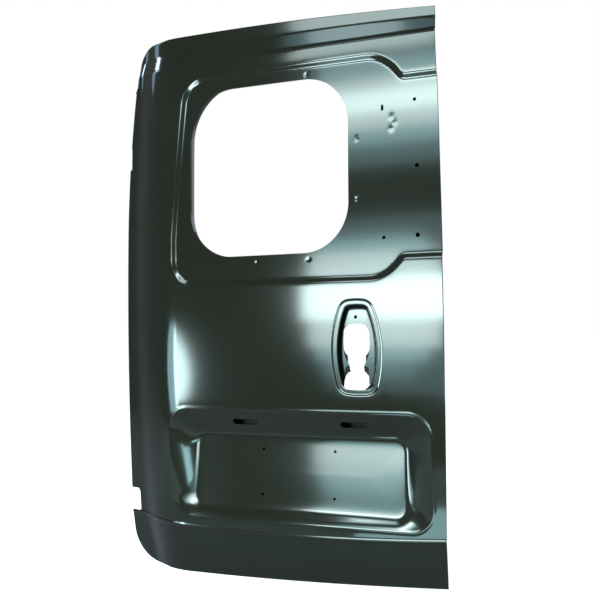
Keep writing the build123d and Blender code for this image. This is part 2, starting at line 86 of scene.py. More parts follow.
def setback(x, z):
    """Depth of the face at a place: a circle's crown, carried on straight past its two end creases, where
    each crease then adds its change of slope. A bell-shaped bead stands out along the skirt crease, which
    sags by a parabola like the bottom edge. The upper crease of the band drops towards its ends in the
    same way, and the joggle runs out at the hinge side."""
    bow = ((x - MIDDLE_X) / HALF_DOOR) ** 2
    skirt_z = SKIRT_Z - SKIRT_SAG * np.maximum(1 - bow, 0)
    held = np.clip(z, SKIRT_Z, TOP_CREASE_Z) - CROWN_Z
    drop = np.sqrt(CROWN_RADIUS ** 2 - held ** 2)
    slope = held / drop
    depth = CROWN_RADIUS - drop + slope * (z - CROWN_Z - held)
    foot_slope = (CROWN_Z - SKIRT_Z) / CROWN_RADIUS
    head_slope = (TOP_CREASE_Z - CROWN_Z) / CROWN_RADIUS
    depth = depth + (SKIRT_SLOPE - foot_slope) * soft_ramp(skirt_z - z, SKIRT_SOFT)
    depth = depth - BEAD_HEIGHT * np.exp(-((z - skirt_z) / BEAD_WIDTH) ** 2)
    depth = depth + (JOGGLE_SLOPE - head_slope) * soft_ramp(z - TOP_CREASE_Z, TOP_SOFT)
    joggle = JOGGLE * np.clip((x - JOGGLE_END_X) / JOGGLE_FADE, 0, 1)
    depth = depth + (BAND_SLOPE - JOGGLE_SLOPE) * soft_ramp(z - TOP_CREASE_Z - joggle, TOP_SOFT)
    band_z = TOP_BAND_Z - BAND_DROP * bow
    return depth + (FLANGE_SLOPE - BAND_SLOPE) * soft_ramp(z - band_z, BAND_SOFT)


print("setback at top and bottom edge:", setback(MIDDLE_X, np.array([HIGH_Z, LOW_Z])).round(1))

# %% Plan: nearly flat face, tight wrap round the hinge side, then the lip
APEX_X, PLAN_RADIUS = 818.0, 16000.0
WRAP_X, WRAP_RADIUS, WRAP_SHARE, RUNOUT_SLOPE = 135.0, 230.0, 0.97, 4.0
WRAP_ANGLE, LIP_ANGLE, LIP_BLEND = np.radians(42.0), np.radians(15.0), 14.0
PLAN_SLOPE = np.arcsin((APEX_X - WRAP_X) / PLAN_RADIUS)
WRAP_CENTRE_X = WRAP_X + WRAP_RADIUS * np.sin(PLAN_SLOPE)
WRAP_CENTRE_Y = FACE_Y + PLAN_RADIUS - (PLAN_RADIUS - WRAP_RADIUS) * np.cos(PLAN_SLOPE)


def plain_face(x, z):
    """The face without its recesses: two circles in plan that meet in one slope, their radii less the
    setback, and a straight lip that takes over where it lies further out than the wrap. Where wrap and
    lip are nearly level, a parabola rounds the crease between them. Where the wrap's circle nearly ends, it
    runs out in a straight slope."""
    depth = setback(x, z)
    main = FACE_Y + PLAN_RADIUS - np.sqrt((PLAN_RADIUS - depth) ** 2 - (APEX_X - x) ** 2)
    radius = WRAP_RADIUS - depth
    across = np.clip(WRAP_CENTRE_X - x, 0, WRAP_SHARE * radius)
    wrap = WRAP_CENTRE_Y - np.sqrt(radius ** 2 - across ** 2)
    wrap = wrap + np.maximum(WRAP_CENTRE_X - x - WRAP_SHARE * radius, 0) * RUNOUT_SLOPE
    end_x = WRAP_CENTRE_X - radius * np.sin(WRAP_ANGLE)
    end_y = WRAP_CENTRE_Y - radius * np.cos(WRAP_ANGLE)
    lip = end_y + (end_x - x) * np.tan(LIP_ANGLE)
    near = np.maximum(LIP_BLEND - np.abs(wrap - lip), 0)
    side = np.minimum(wrap, lip) - near ** 2 / (4 * LIP_BLEND)
    return np.where(x > WRAP_CENTRE_X - radius * np.sin(PLAN_SLOPE), main, side)


print("face at the lock edge and at the lip:",
      plain_face(np.array([RIGHT_X, LEFT_X]), np.array([CROWN_Z, CROWN_Z])).round(1))

# %% [markdown]
# ## Outlines as signed distances
# Every recess, hole and edge is drawn from outside as a closed outline. Its signed distance, positive
# inside, then does three jobs: it shapes the pressing's walls, it trims the sheet, and its slope tells
# a vertex the shortest way on to the outline.

# %% Distance to a rounded rectangle and to any rounded loop
TINY, FAR, CHUNKS = 1e-9, 60.0, 40


def unit(vectors):
    """Vectors scaled to length one. A zero vector stays zero."""
    return vectors / np.maximum(np.linalg.norm(vectors, axis=-1, keepdims=True), TINY)


def rounded_rectangle(x, z, centre_x, centre_z, width, height, radius):
    """Signed distance to a rounded rectangle: its radius less the distance past the inner corners."""
    across = np.abs(x - centre_x) - width / 2 + radius
    up = np.abs(z - centre_z) - height / 2 + radius
    past = np.hypot(np.maximum(across, 0), np.maximum(up, 0))
    return radius - past - np.minimum(np.maximum(across, up), 0)


def rounded_loop(corners, radii, arc_points=24):
    """Closed outline through the corners: each one is replaced by the arc that touches both its sides."""
    corners = np.asarray(corners, float)
    outline = []
    places = zip(corners, np.roll(corners, 1, 0), np.roll(corners, -1, 0), radii)
    for corner, before, after, radius in places:
        if radius == 0:
            outline.append(corner[None])
            continue
        back, ahead = unit(before - corner), unit(after - corner)
        half = np.arccos(np.dot(back, ahead)) / 2
        centre = corner + unit(back + ahead) * radius / np.sin(half)
        start = corner + back * radius / np.tan(half) - centre
        end = corner + ahead * radius / np.tan(half) - centre
        turn = np.pi - 2 * half
        share = np.linspace(0, 1, arc_points)[:, None]
        arc = start * np.sin((1 - share) * turn) + end * np.sin(share * turn)
        outline.append(centre + arc / np.sin(turn))
    return np.concatenate(outline)


def loop_distance(x, z, loop):
    """Signed distance to a closed outline: the nearest side gives its size, and the number of sides
    crossed on the way out gives its sign. Places further off than FAR are all called that far. The work is
    done in chunks to save memory."""
    x, z = np.broadcast_arrays(np.asarray(x, float), np.asarray(z, float))
    result = np.full(x.shape, -FAR)
    low, high = loop.min(0) - FAR, loop.max(0) + FAR
    near = (x > low[0]) & (x < high[0]) & (z > low[1]) & (z < high[1])
    start, run = loop, np.roll(loop, -1, 0) - loop
    length = np.maximum((run ** 2).sum(1), TINY)
    parts = []
    for px, pz in zip(np.array_split(x[near], CHUNKS), np.array_split(z[near], CHUNKS)):
        dx, dz = px[:, None] - start[:, 0], pz[:, None] - start[:, 1]
        share = np.clip((dx * run[:, 0] + dz * run[:, 1]) / length, 0, 1)
        size = np.hypot(dx - share * run[:, 0], dz - share * run[:, 1]).min(1)
        spans = (dz >= 0) != (dz - run[:, 1] >= 0)
        left = (run[:, 0] * dz - run[:, 1] * dx > 0) == (run[:, 1] > 0)
        inside = (spans & left).sum(1) % 2 == 1
        parts.append(np.where(inside, size, -size))
    result[near] = np.maximum(np.concatenate(parts), -FAR)
    return result


print("middle of a 20 x 10 rectangle lies inside by", rounded_rectangle(0, 0, 0, 0, 20, 10, 2))

# %% [markdown]
# ## What the press tool adds to the face
# The window sits in a shallow recess that runs out at the lock edge. The number plate and the handle have
# deep recesses. Their walls are not drawn as faces: the depth simply grows with the distance from the
# outline, which gives rounded shoulders and feet for nothing.

# %% Window recess
RECESS_DEPTH, RECESS_RUN, RECESS_OUTSIDE, RECESS_SOFT = 5.0, 12.0, 0.35, 0.16
RECESS_CORNERS = [(860, 585), (715, 585), (673, 539), (127, 539), (127, 650),
                  (160, 1035), (673, 1035), (715, 982), (860, 982)]
RECESS_RADII = [0, 20, 90, 60, 300, 60, 90, 20, 0]
RECESS_LOOP = rounded_loop(RECESS_CORNERS, RECESS_RADII)


def rounded_wall(share, start_softness, end_softness):
    """Rises from 0 to 1 in a straight line, rounded within a softness at each end."""
    start = np.sqrt(share ** 2 + start_softness ** 2)
    end = np.sqrt((share - 1) ** 2 + end_softness ** 2)
    return (start - end + 1) / 2


def window_recess(x, z):
    """Depth of the window recess: full depth inside, reached by a straight wall with rounded ends. A share
    of the wall's run lies outside the outline."""
    share = loop_distance(x, z, RECESS_LOOP) / RECESS_RUN + RECESS_OUTSIDE
    return RECESS_DEPTH * rounded_wall(share, RECESS_SOFT, RECESS_SOFT)


print("window recess, outline points:", len(RECESS_LOOP))

# %% Number plate recess
PLATE_X, PLATE_Z, PLATE_WIDTH, PLATE_HEIGHT, PLATE_RADIUS = 433.0, 96.5, 540.0, 177.0, 30.0
PLATE_DEPTH, PLATE_TILT, PLATE_TURN = 40.0, np.radians(6.5), np.radians(1.2)
MOUTH_X, MOUTH_Z, MOUTH_WIDTH, MOUTH_HEIGHT, MOUTH_RADIUS = 434.0, 113.0, 656.0, 252.0, 50.0
MOUTH_ROUND, FLOOR_ROUND, SHORTEST_WALL = 6.0, 8.0, 8.0
LIP_HEIGHT, LIP_WIDTH = 1.0, 4.5


def plate_floor(x, z):
    """Signed distance to the outline of the plate recess's floor."""
    return rounded_rectangle(x, z, PLATE_X, PLATE_Z, PLATE_WIDTH, PLATE_HEIGHT, PLATE_RADIUS)


def plate_mouth(x, z):
    """Signed distance to the outline of the plate recess's mouth."""
    return rounded_rectangle(x, z, MOUTH_X, MOUTH_Z, MOUTH_WIDTH, MOUTH_HEIGHT, MOUTH_RADIUS)


def with_plate_recess(face, x, z):
    """Sinks the face to the plate recess: the share of the way to its floor is the distance from the mouth
    over the wall's run, which is that distance and the one left to the floor together. The floor leans
    back at its top and is turned a little in plan. A bell-shaped lip stands out round the mouth."""
    from_mouth = plate_mouth(x, z)
    run = np.maximum(from_mouth - plate_floor(x, z), SHORTEST_WALL)
    lean = (z - PLATE_Z) * np.tan(PLATE_TILT)
    floor = FACE_Y + PLATE_DEPTH + lean + (PLATE_X - x) * np.tan(PLATE_TURN)
    lip = LIP_HEIGHT * np.exp(-((from_mouth + LIP_WIDTH) / LIP_WIDTH) ** 2)
    share = rounded_wall(from_mouth / run, MOUTH_ROUND / run, FLOOR_ROUND / run)
    return face + (floor - face) * share - lip


print("plate recess, floor and mouth:", (PLATE_WIDTH, PLATE_HEIGHT), (MOUTH_WIDTH, MOUTH_HEIGHT))

# %% Outline of the handle recess: five arcs on each side, given by the direction that they face
HANDLE_X, HANDLE_Z = 602.5, 405.0
HANDLE_TOP, HANDLE_WIDE, HANDLE_LOW = (34.0, 86.0), (57.5, 0.0), (43.0, -118.0)
HANDLE_BOW, HANDLE_TOP_RADIUS, HANDLE_LOW_RADIUS, ARC_STEPS = 4.0, 27.0, 29.0, 20


def circle_through(start, middle, end):
    """Centre and radius of the circle through three points."""
    (ax, az), (bx, bz), (cx, cz) = start, middle, end
    sides = np.array([[bx - ax, bz - az], [cx - ax, cz - az]])
    half = np.array([bx ** 2 - ax ** 2 + bz ** 2 - az ** 2, cx ** 2 - ax ** 2 + cz ** 2 - az ** 2]) / 2
    centre = np.linalg.solve(sides, half)
    return centre, np.hypot(ax - centre[0], az - centre[1])


def touching_circle(one, other, radius):
    """Centre of the circle that touches two larger circles from inside, on their right-hand side."""
    (first, first_radius), (second, second_radius) = one, other
    apart = second - first
    gap = np.hypot(*apart)
    along = ((first_radius - radius) ** 2 - (second_radius - radius) ** 2 + gap ** 2) / (2 * gap)
    aside = np.sqrt((first_radius - radius) ** 2 - along ** 2)
    middle = first + apart / gap * along
    reach = np.array([-apart[1], apart[0]]) / gap * aside
    return max(middle + reach, middle - reach, key=lambda place: place[0])


def facing(start, end):
    """Direction from one point to another, in radians above level."""
    return np.arctan2(end[1] - start[1], end[0] - start[0])


side_circle = circle_through(HANDLE_TOP, HANDLE_WIDE, HANDLE_LOW)
top_circle = circle_through((-HANDLE_TOP[0], HANDLE_TOP[1]), (0.0, HANDLE_TOP[1] + HANDLE_BOW), HANDLE_TOP)
low_circle = circle_through((-HANDLE_LOW[0], HANDLE_LOW[1]), (0.0, HANDLE_LOW[1] - HANDLE_BOW), HANDLE_LOW)
top_corner = touching_circle(side_circle, top_circle, HANDLE_TOP_RADIUS)
low_corner = touching_circle(low_circle, side_circle, HANDLE_LOW_RADIUS)
ARC_STARTS = np.array([facing(low_circle[0], low_corner), facing(side_circle[0], low_corner),
                       facing(side_circle[0], top_corner), facing(top_circle[0], top_corner)])
ARC_CENTRES = np.array([low_circle[0], low_corner, side_circle[0], top_corner, top_circle[0]])
ARC_RADII = np.array([low_circle[1], HANDLE_LOW_RADIUS, side_circle[1], HANDLE_TOP_RADIUS, top_circle[1]])


def handle_outline(direction, inset):
    """Place on the handle outline that faces a direction, moved in by inset: the centre of the arc that
    faces that way, plus its radius less the inset. The left half mirrors the right one."""
    right = np.where(np.cos(direction) >= 0, 1.0, -1.0)
    folded = np.arcsin(np.clip(np.sin(direction), -1, 1))
    arc = np.searchsorted(ARC_STARTS, folded)
    across = ARC_CENTRES[arc, 0] + (ARC_RADII[arc] - inset) * np.cos(folded)
    up = ARC_CENTRES[arc, 1] + (ARC_RADII[arc] - inset) * np.sin(folded)
    return HANDLE_X + right * across, HANDLE_Z + up


right_half = np.concatenate([np.linspace(start, end, ARC_STEPS, endpoint=False) for start, end in
                             zip([-np.pi / 2, *ARC_STARTS], [*ARC_STARTS, np.pi / 2])])
HANDLE_DIRECTIONS = np.concatenate([right_half, np.pi - right_half[::-1][:-1]])
HANDLE_LOOP = np.stack(handle_outline(HANDLE_DIRECTIONS, 0.0), -1)
print("handle outline:", HANDLE_LOOP.min(0).round(1), HANDLE_LOOP.max(0).round(1))

# %% Handle recess
RIM_DEPTH, RIM_STEP, RIM_SOFT = 1.2, 4.0, 0.25
HANDLE_RIM, HANDLE_DEPTH, HANDLE_WALL, WALL_SOFT = 12.5, 14.0, 6.0, 0.15


def handle_recess(x, z):
    """Depth of the handle recess: a slight step to a level rim, centred on the outline, then a steep wall
    down to the floor."""
    inside = loop_distance(x, z, HANDLE_LOOP)
    rim = RIM_DEPTH * rounded_wall(inside / RIM_STEP + 1 / 2, RIM_SOFT, RIM_SOFT)
    wall = rounded_wall((inside - HANDLE_RIM) / HANDLE_WALL, WALL_SOFT, WALL_SOFT)
    return rim + (HANDLE_DEPTH - RIM_DEPTH) * wall


print("handle recess, rim and floor:", RIM_DEPTH, HANDLE_DEPTH)

# %% Spot-weld dimples and handling dents
DIMPLES = np.array([(485, 1012), (608, 853), (607, 718), (489, 588), (357, 587), (170, 862)], float)
DENTS = np.array([(691, 894), (697, 881), (690, 868)], float)
# Places, depth and radius
HOLLOWS = [(DIMPLES, 0.6, 4.0), (DENTS, 0.5, 6.0)]


def dents(x, z):
    """Small round hollows: each sinks by its depth and fades as a bell curve of its radius."""
    total = 0.0
    for places, depth, radius in HOLLOWS:
        apart = (x[..., None] - places[:, 0]) ** 2 + (z[..., None] - places[:, 1]) ** 2
        total = total + (depth * np.exp(-apart / radius ** 2)).sum(-1)
    return total


print("dimples and dents:", len(DIMPLES), len(DENTS))


# %% The whole pressed face
def pressed_face(x, z):
    """y of the finished face: the plain face and its recesses."""
    face = plain_face(x, z) + window_recess(x, z) + handle_recess(x, z) + dents(x, z)
    return with_plate_recess(face, x, z)


def face_normals(x, z, reach=0.3):
    """Outward normals of the pressed face, from its slopes across and up."""
    across = (pressed_face(x + reach, z) - pressed_face(x - reach, z)) / (2 * reach)
    up = (pressed_face(x, z + reach) - pressed_face(x, z - reach)) / (2 * reach)
    return unit(np.stack([across, -np.ones_like(across), up], -1))


sample = pressed_face(np.array([PLATE_X, HANDLE_X]), np.array([PLATE_Z, HANDLE_Z]))
print("plate floor and handle floor:", sample.round(1))

# %% [markdown]
# ## A grid that fits the door
# The sheet starts as a grid of lines that are close together where the pressing has detail. Its four sides
# are bent on to the door's edges. Vertices next to an opening are then drawn on to it, and cells
# outside are dropped, so every edge is clean with no boolean.

# %% Grid lines
SAMPLES, SMOOTHING = 6001, 30


def graded_lines(low, high, bands, fine, coarse):
    """Lines from low to high, spaced by fine inside the bands and by coarse between them: equal steps of
    the running sum of the wanted density, which is smoothed so that neighbouring cells are alike."""
    place = np.linspace(low, high, SAMPLES)
    in_band = np.zeros_like(place, bool)
    for start, end in bands:
        in_band |= (place >= start) & (place <= end)
    wanted = np.pad(np.where(in_band, 1 / fine, 1 / coarse), SMOOTHING, mode="edge")
    window = 2 * SMOOTHING + 1
    density = np.convolve(wanted, np.ones(window) / window, "valid")
    running = np.concatenate([[0], np.cumsum((density[1:] + density[:-1]) / 2 * np.diff(place))])
    return np.interp(np.linspace(0, running[-1], int(running[-1]) + 1), running, place)


FINE, COARSE_COLUMN, COARSE_ROW = 1.7, 5.2, 6.0
COLUMN_BANDS = [(LEFT_X, -57), (84, 132), (586, 608), (650, 735), (744, 772), (796, RIGHT_X)]
ROW_BANDS = [(LOW_Z, -154), (-58, 16), (174, 194), (226, 262), (530, 560), (578, 596),
             (974, 988), (1022, 1044), (1066, 1088), (1110, 1124), (1142, HIGH_Z)]
columns = graded_lines(LEFT_X, RIGHT_X, COLUMN_BANDS, FINE, COARSE_COLUMN)
rows = graded_lines(LOW_Z, HIGH_Z, ROW_BANDS, FINE, COARSE_ROW)
print("columns and rows:", len(columns), len(rows))

# %% Bend the grid's sides on to the door's edges
LOCK_LOW, LOCK_HIGH = (788.0, -138.0), (788.0, 1130.0)
HINGE_LOW, HINGE_MID, HINGE_HIGH = (LEFT_X, LOW_Z), (-44.0, 653.0), (-4.0, HIGH_Z)
LOCK_MID, TOP_MID, LOW_MID = (RIGHT_X, 494.0), (MIDDLE_X, HIGH_Z), (MIDDLE_X, -156.0)
lock_arc = circle_through(LOCK_LOW, LOCK_MID, LOCK_HIGH)
top_arc = circle_through(LOCK_HIGH, TOP_MID, HINGE_HIGH)
low_arc = circle_through(HINGE_LOW, LOW_MID, LOCK_LOW)


def hinge_edge(z):
    """x of the hinge edge: a straight line, then the arc that leaves it in the same direction and ends at
    the top corner."""
    (lx, lz), (mx, mz), (hx, hz) = HINGE_LOW, HINGE_MID, HINGE_HIGH
    along = np.array([mx - lx, mz - lz]) / np.hypot(mx - lx, mz - lz)
    across = np.array([along[1], -along[0]])
    chord = np.array([hx - mx, hz - mz])
    radius = chord @ chord / (2 * chord @ across)
    centre = np.array([mx, mz]) + across * radius
    arc = centre[0] - np.sqrt(radius ** 2 - (z - centre[1]) ** 2)
    return np.where(z < mz, lx + (mx - lx) * (z - lz) / (mz - lz), arc)


def lock_edge(z):
    """x of the lock edge, on its circle."""
    (cx, cz), radius = lock_arc
    return cx + np.sqrt(radius ** 2 - (z - cz) ** 2)


def upper_edge(x):
    """z of the top edge, on its circle."""
    (cx, cz), radius = top_arc
    return cz + np.sqrt(radius ** 2 - (x - cx) ** 2)


def lower_edge(x):
    """z of the bottom edge, on its circle, whichever side of it the circle's centre lies."""
    (cx, cz), radius = low_arc
    return cz - np.sign(cz - LOW_MID[1]) * np.sqrt(radius ** 2 - (x - cx) ** 2)


LEFT_FREE_X, LEFT_BENT_X, RIGHT_FREE_X, TOP_FREE_Z, LOW_FREE_Z = 400.0, 140.0, 770.0, 1126.0, -60.0
ROUNDS = 4
grid_x, grid_z = np.meshgrid(columns, rows, indexing="ij")
left_share = np.clip((LEFT_FREE_X - grid_x) / (LEFT_FREE_X - LEFT_BENT_X), 0, 1)
right_share = np.clip((grid_x - RIGHT_FREE_X) / (RIGHT_X - RIGHT_FREE_X), 0, 1)
top_share = np.clip((grid_z - TOP_FREE_Z) / (HIGH_Z - TOP_FREE_Z), 0, 1)
low_share = np.clip((LOW_FREE_Z - grid_z) / (LOW_FREE_Z - LOW_Z), 0, 1)
x, z = grid_x.copy(), grid_z.copy()
for _ in range(ROUNDS):
    z = grid_z + top_share * (upper_edge(x) - HIGH_Z) + low_share * (lower_edge(x) - LOW_Z)
    x = grid_x + left_share * (hinge_edge(z) - LEFT_X) + right_share * (lock_edge(z) - RIGHT_X)
print("grid corners:", x[0, 0].round(1), x[-1, -1].round(1), z[-1, -1].round(1))

# %% [markdown]
# ## Openings
# The window, the lamp slots and the hinge gaps are trimmed out of the grid, and so are the two rounded
# corners. Where a grid edge crosses an outline, its nearer end moves on to it. No edge then runs from
# inside to outside, so a cell is kept whole, cut to a triangle or dropped.

# %% Signed distances of everything that is cut away
EDGE_CORNERS = [LOCK_LOW, LOCK_MID, LOCK_HIGH, TOP_MID, HINGE_HIGH, HINGE_MID, HINGE_LOW, LOW_MID]
EDGE_RADII = [0, 0, 0, 0, 48, 0, 80, 0]
EDGE_LOOP = rounded_loop(EDGE_CORNERS, EDGE_RADII)
HIGH_CORNER, LOW_CORNER = (90.0, 1050.0), (60.0, -60.0)
# Rounded rectangles: middle across, middle up, width, height, corner radius
WINDOW = (382.5, 803.0, 411.0, 400.0, 112.0)
LOWER_GAP, UPPER_GAP = (-90.0, 0.0, 120.0, 57.0, 5.0), (-90.0, 867.0, 120.0, 57.0, 1.5)
LEFT_SLOT, RIGHT_SLOT = (306.0, 213.0, 68.0, 14.0, 7.0), (582.0, 213.0, 68.0, 14.0, 7.0)


def hinge_gaps(x, z):
    """Signed distance to the two gaps in the lip at the hinges, with rounded inner corners."""
    return np.maximum(rounded_rectangle(x, z, *LOWER_GAP), rounded_rectangle(x, z, *UPPER_GAP))


def lamp_slots(x, z):
    """Signed distance to the two long slots for the plate lamps."""
    return np.maximum(rounded_rectangle(x, z, *LEFT_SLOT), rounded_rectangle(x, z, *RIGHT_SLOT))


def corner_cut(x, z):
    """Distance inside the door's outline near its two rounded corners, and far inside elsewhere."""
    high = (x < HIGH_CORNER[0]) & (z > HIGH_CORNER[1])
    low = (x < LOW_CORNER[0]) & (z < LOW_CORNER[1])
    near = high | low
    result = np.full(np.shape(x), FAR)
    result[near] = loop_distance(x[near], z[near], EDGE_LOOP)
    return result


def sheet_inside(x, z):
    """Signed distance to the nearest trimmed edge, positive in the sheet."""
    cuts = [rounded_rectangle(x, z, *WINDOW), hinge_gaps(x, z), lamp_slots(x, z)]
    return np.minimum(corner_cut(x, z), -np.max(cuts, axis=0))


inside = sheet_inside(x, z)
print("vertices of the grid in the sheet:", int((inside > 0).sum()), "of", inside.size)


# %% Draw vertices on to the trimmed edges
def slope_of(distance, x, z, reach=0.05):
    """Unit direction in which a signed distance grows fastest."""
    across = distance(x + reach, z) - distance(x - reach, z)
    up = distance(x, z + reach) - distance(x, z - reach)
    size = np.maximum(np.hypot(across, up), TINY)
    return across / size, up / size


def crossed_near(inside):
    """Marks each vertex that is the nearer end of a grid edge which an outline crosses."""
    marked = np.zeros(inside.shape, bool)
    for axis in (0, 1):
        first = np.take(inside, range(inside.shape[axis] - 1), axis)
        second = np.take(inside, range(1, inside.shape[axis]), axis)
        crossed = first * second < 0
        nearer = np.abs(first) <= np.abs(second)
        lower = [slice(None), slice(None)]
        upper = [slice(None), slice(None)]
        lower[axis], upper[axis] = slice(None, -1), slice(1, None)
        marked[tuple(lower)] |= crossed & nearer
        marked[tuple(upper)] |= crossed & ~nearer
    return marked


def draw_on(distance, chosen):
    """Moves the chosen vertices on to the outline of a signed distance, by its size along its slope."""
    across, up = slope_of(distance, x[chosen], z[chosen])
    gap = distance(x[chosen], z[chosen])
    x[chosen] -= gap * across
    z[chosen] -= gap * up


on_edge = crossed_near(inside)
for _ in range(ROUNDS):
    draw_on(sheet_inside, on_edge)
inside = np.where(on_edge, 0.0, sheet_inside(x, z))
print("vertices drawn on to trimmed edges:", int(on_edge.sum()))

# %% Draw vertices on to the creases of the recesses
CREASES = [
    lambda x, z: loop_distance(x, z, RECESS_LOOP) + RECESS_OUTSIDE * RECESS_RUN,
    lambda x, z: loop_distance(x, z, RECESS_LOOP) - (1 - RECESS_OUTSIDE) * RECESS_RUN,
    plate_mouth,
    plate_floor,
]
on_crease = np.zeros_like(on_edge)
on_border = np.zeros_like(on_edge)
on_border[[0, -1]] = True
on_border[:, [0, -1]] = True
for crease in CREASES:
    near = crossed_near(crease(x, z)) & ~on_edge & ~on_crease & ~on_border
    for _ in range(ROUNDS // 2):
        draw_on(crease, near)
    on_crease |= near
print("vertices drawn on to creases:", int(on_crease.sum()))

# %% Cells that are kept
count_x, count_z = x.shape
index = np.arange(count_x * count_z).reshape(count_x, count_z)
corner_index = np.stack([index[:-1, :-1], index[1:, :-1], index[1:, 1:], index[:-1, 1:]], -1)
EDGE_SLACK = 1e-6
outside = inside < -EDGE_SLACK
corner_out = outside.ravel()[corner_index]
whole = ~corner_out.any(-1)
cut = corner_out.sum(-1) == 1
print("whole and cut cells:", int(whole.sum()), int(cut.sum()))

# %% [markdown]
# ## Rings round the holes
# Small holes are too fine for the grid, and the handle recess turns too tightly for it. Round each, a block
# of cells is taken out and filled with rings that run from the block's border to the hole. The rings of the
# handle follow its own outline, so its rim and its wall come out smooth.

# %% Take blocks out and fill them
ring_places, ring_quads = [], []


def open_block(low_x, high_x, low_z, high_z):
    """Takes the cells of a block out and returns the vertices round it, in order."""
    first_i, last_i = np.searchsorted(columns, low_x) - 1, np.searchsorted(columns, high_x)
    first_j, last_j = np.searchsorted(rows, low_z) - 1, np.searchsorted(rows, high_z)
    whole[first_i:last_i, first_j:last_j] = False
    return np.concatenate([index[first_i:last_i, first_j], index[last_i, first_j:last_j],
                           index[last_i:first_i:-1, last_j], index[first_i, last_j:first_j:-1]])


def fill_block(border, ring_x, ring_z):
    """Adds rings of new vertices inside a border, and the faces between them."""
    start = index.size + sum(len(places) for places in ring_places)
    rings = np.concatenate([border[None], start + np.arange(ring_x.size).reshape(ring_x.shape)])
    ahead = np.roll(rings, -1, 1)
    ring_places.append(np.stack([ring_x, ring_z], -1).reshape(-1, 2))
    ring_quads.append(np.stack([rings[:-1], ahead[:-1], ahead[1:], rings[1:]], -1).reshape(-1, 4))


# %% Small holes
PLATE_HOLE_X, PLATE_HOLE_Z, PLATE_HOLE = (345.5, 528.5), (43.8, 149.2), 6.6
# Middle across, middle up, width, height
HOLES = [(743.5, 927.0, 8.0, 8.0), (748.0, 782.0, 9.0, 9.0), (748.0, 631.0, 10.0, 10.0),
         (670.5, 629.0, 8.0, 8.0), (669.0, 916.0, 6.0, 14.0)]
HOLES += [(hole_x, hole_z, PLATE_HOLE, PLATE_HOLE) for hole_x in PLATE_HOLE_X for hole_z in PLATE_HOLE_Z]
HOLE_MARGIN = 2.5
RING_SHARES = np.array([0.45, 0.8, 1.0])[:, None]
for hole_x, hole_z, wide, tall in HOLES:
    reach_x, reach_z = wide / 2 + HOLE_MARGIN, tall / 2 + HOLE_MARGIN
    border = open_block(hole_x - reach_x, hole_x + reach_x, hole_z - reach_z, hole_z + reach_z)
    edge_x, edge_z = x.ravel()[border], z.ravel()[border]
    straight = np.clip(edge_z - hole_z, -(tall - wide) / 2, (tall - wide) / 2)
    turn = np.arctan2(edge_z - hole_z - straight, edge_x - hole_x)
    rim_x = hole_x + wide / 2 * np.cos(turn)
    rim_z = hole_z + straight + wide / 2 * np.sin(turn)
    fill_block(border, edge_x + (rim_x - edge_x) * RING_SHARES, edge_z + (rim_z - edge_z) * RING_SHARES)
print("small holes:", len(HOLES))

# %% Handle recess: rings along its outline, then down to the keyhole
HOLE_X = 597.0
LOBE_Z, LOBE_HALF, LOBE_REACH, LOBE_TAPER = 396.0, 32.0, 45.0, 56.0
FOOT_Z, FOOT_HALF, FOOT_REACH = 319.0, 28.5, 26.5
LOBE_POWERS, FOOT_POWERS, NECK_HALF = (4.0, 2.0), (10.0, 4.0), 17.5
PIN_Z, PIN_RADIUS, PIN_SLACK = 456.0, 4.0, 0.01
HANDLE_MIDDLE, HANDLE_BLOCK = (HANDLE_X, 390.0), (524.0, 681.0, 262.0, 512.0)


def keyhole_half(level):
    """Half width of the keyhole at a level: an egg above, a rounded foot below, and a neck between. Egg and
    foot are superellipses, with one power above their widest level and another below it."""
    up = np.clip((level - LOBE_Z) / np.where(level > LOBE_Z, LOBE_REACH, LOBE_TAPER), -1, 1)
    power = np.where(up > 0, *LOBE_POWERS)
    lobe = LOBE_HALF * (1 - np.abs(up) ** power) ** (1 / power)
    step = np.clip((level - FOOT_Z) / FOOT_REACH, -1, 1)
    power = np.where(step > 0, *FOOT_POWERS)
    foot = FOOT_HALF * (1 - np.abs(step) ** power) ** (1 / power)
    neck = np.where((level > FOOT_Z) & (level < LOBE_Z), NECK_HALF, 0.0)
    return np.maximum(np.maximum(lobe, foot), neck)


border = open_block(*HANDLE_BLOCK)
edge_x, edge_z = x.ravel()[border], z.ravel()[border]
polar = np.unwrap(np.arctan2(HANDLE_LOOP[:, 1] - HANDLE_MIDDLE[1], HANDLE_LOOP[:, 0] - HANDLE_MIDDLE[0]))
seen_at = np.arctan2(edge_z - HANDLE_MIDDLE[1], edge_x - HANDLE_MIDDLE[0])
seen_at = np.where(seen_at < polar[0], seen_at + 2 * np.pi, seen_at)
direction = np.interp(seen_at, np.append(polar, polar[0] + 2 * np.pi),
                      np.append(HANDLE_DIRECTIONS, HANDLE_DIRECTIONS[0] + 2 * np.pi))
OUTER_INSETS = [-9.0, -5.0, -3.2, -2.2, -1.4, -0.5, 0.5, 1.4, 2.2, 3.2, 5.5, 8.5, 10.8]
WALL_INSETS = [11.6, 12.2, 12.8, 13.6, 14.6, 15.6, 16.6, 17.6, 18.4, 19.0, 19.8]
FLOOR_RINGS = 12
ring_x, ring_z = [], []
for inset in OUTER_INSETS:
    place_x, place_z = handle_outline(direction, inset)
    ring_x.append(place_x)
    ring_z.append(place_z)
start_z = handle_outline(direction, WALL_INSETS[0])[1]
level = np.interp(start_z, [start_z.min(), start_z.max()], [FOOT_Z - FOOT_REACH, LOBE_Z + LOBE_REACH])
hole_x = HOLE_X + np.sign(np.cos(direction)) * keyhole_half(level)
room = loop_distance(hole_x, level, HANDLE_LOOP) - OUTER_INSETS[-1]
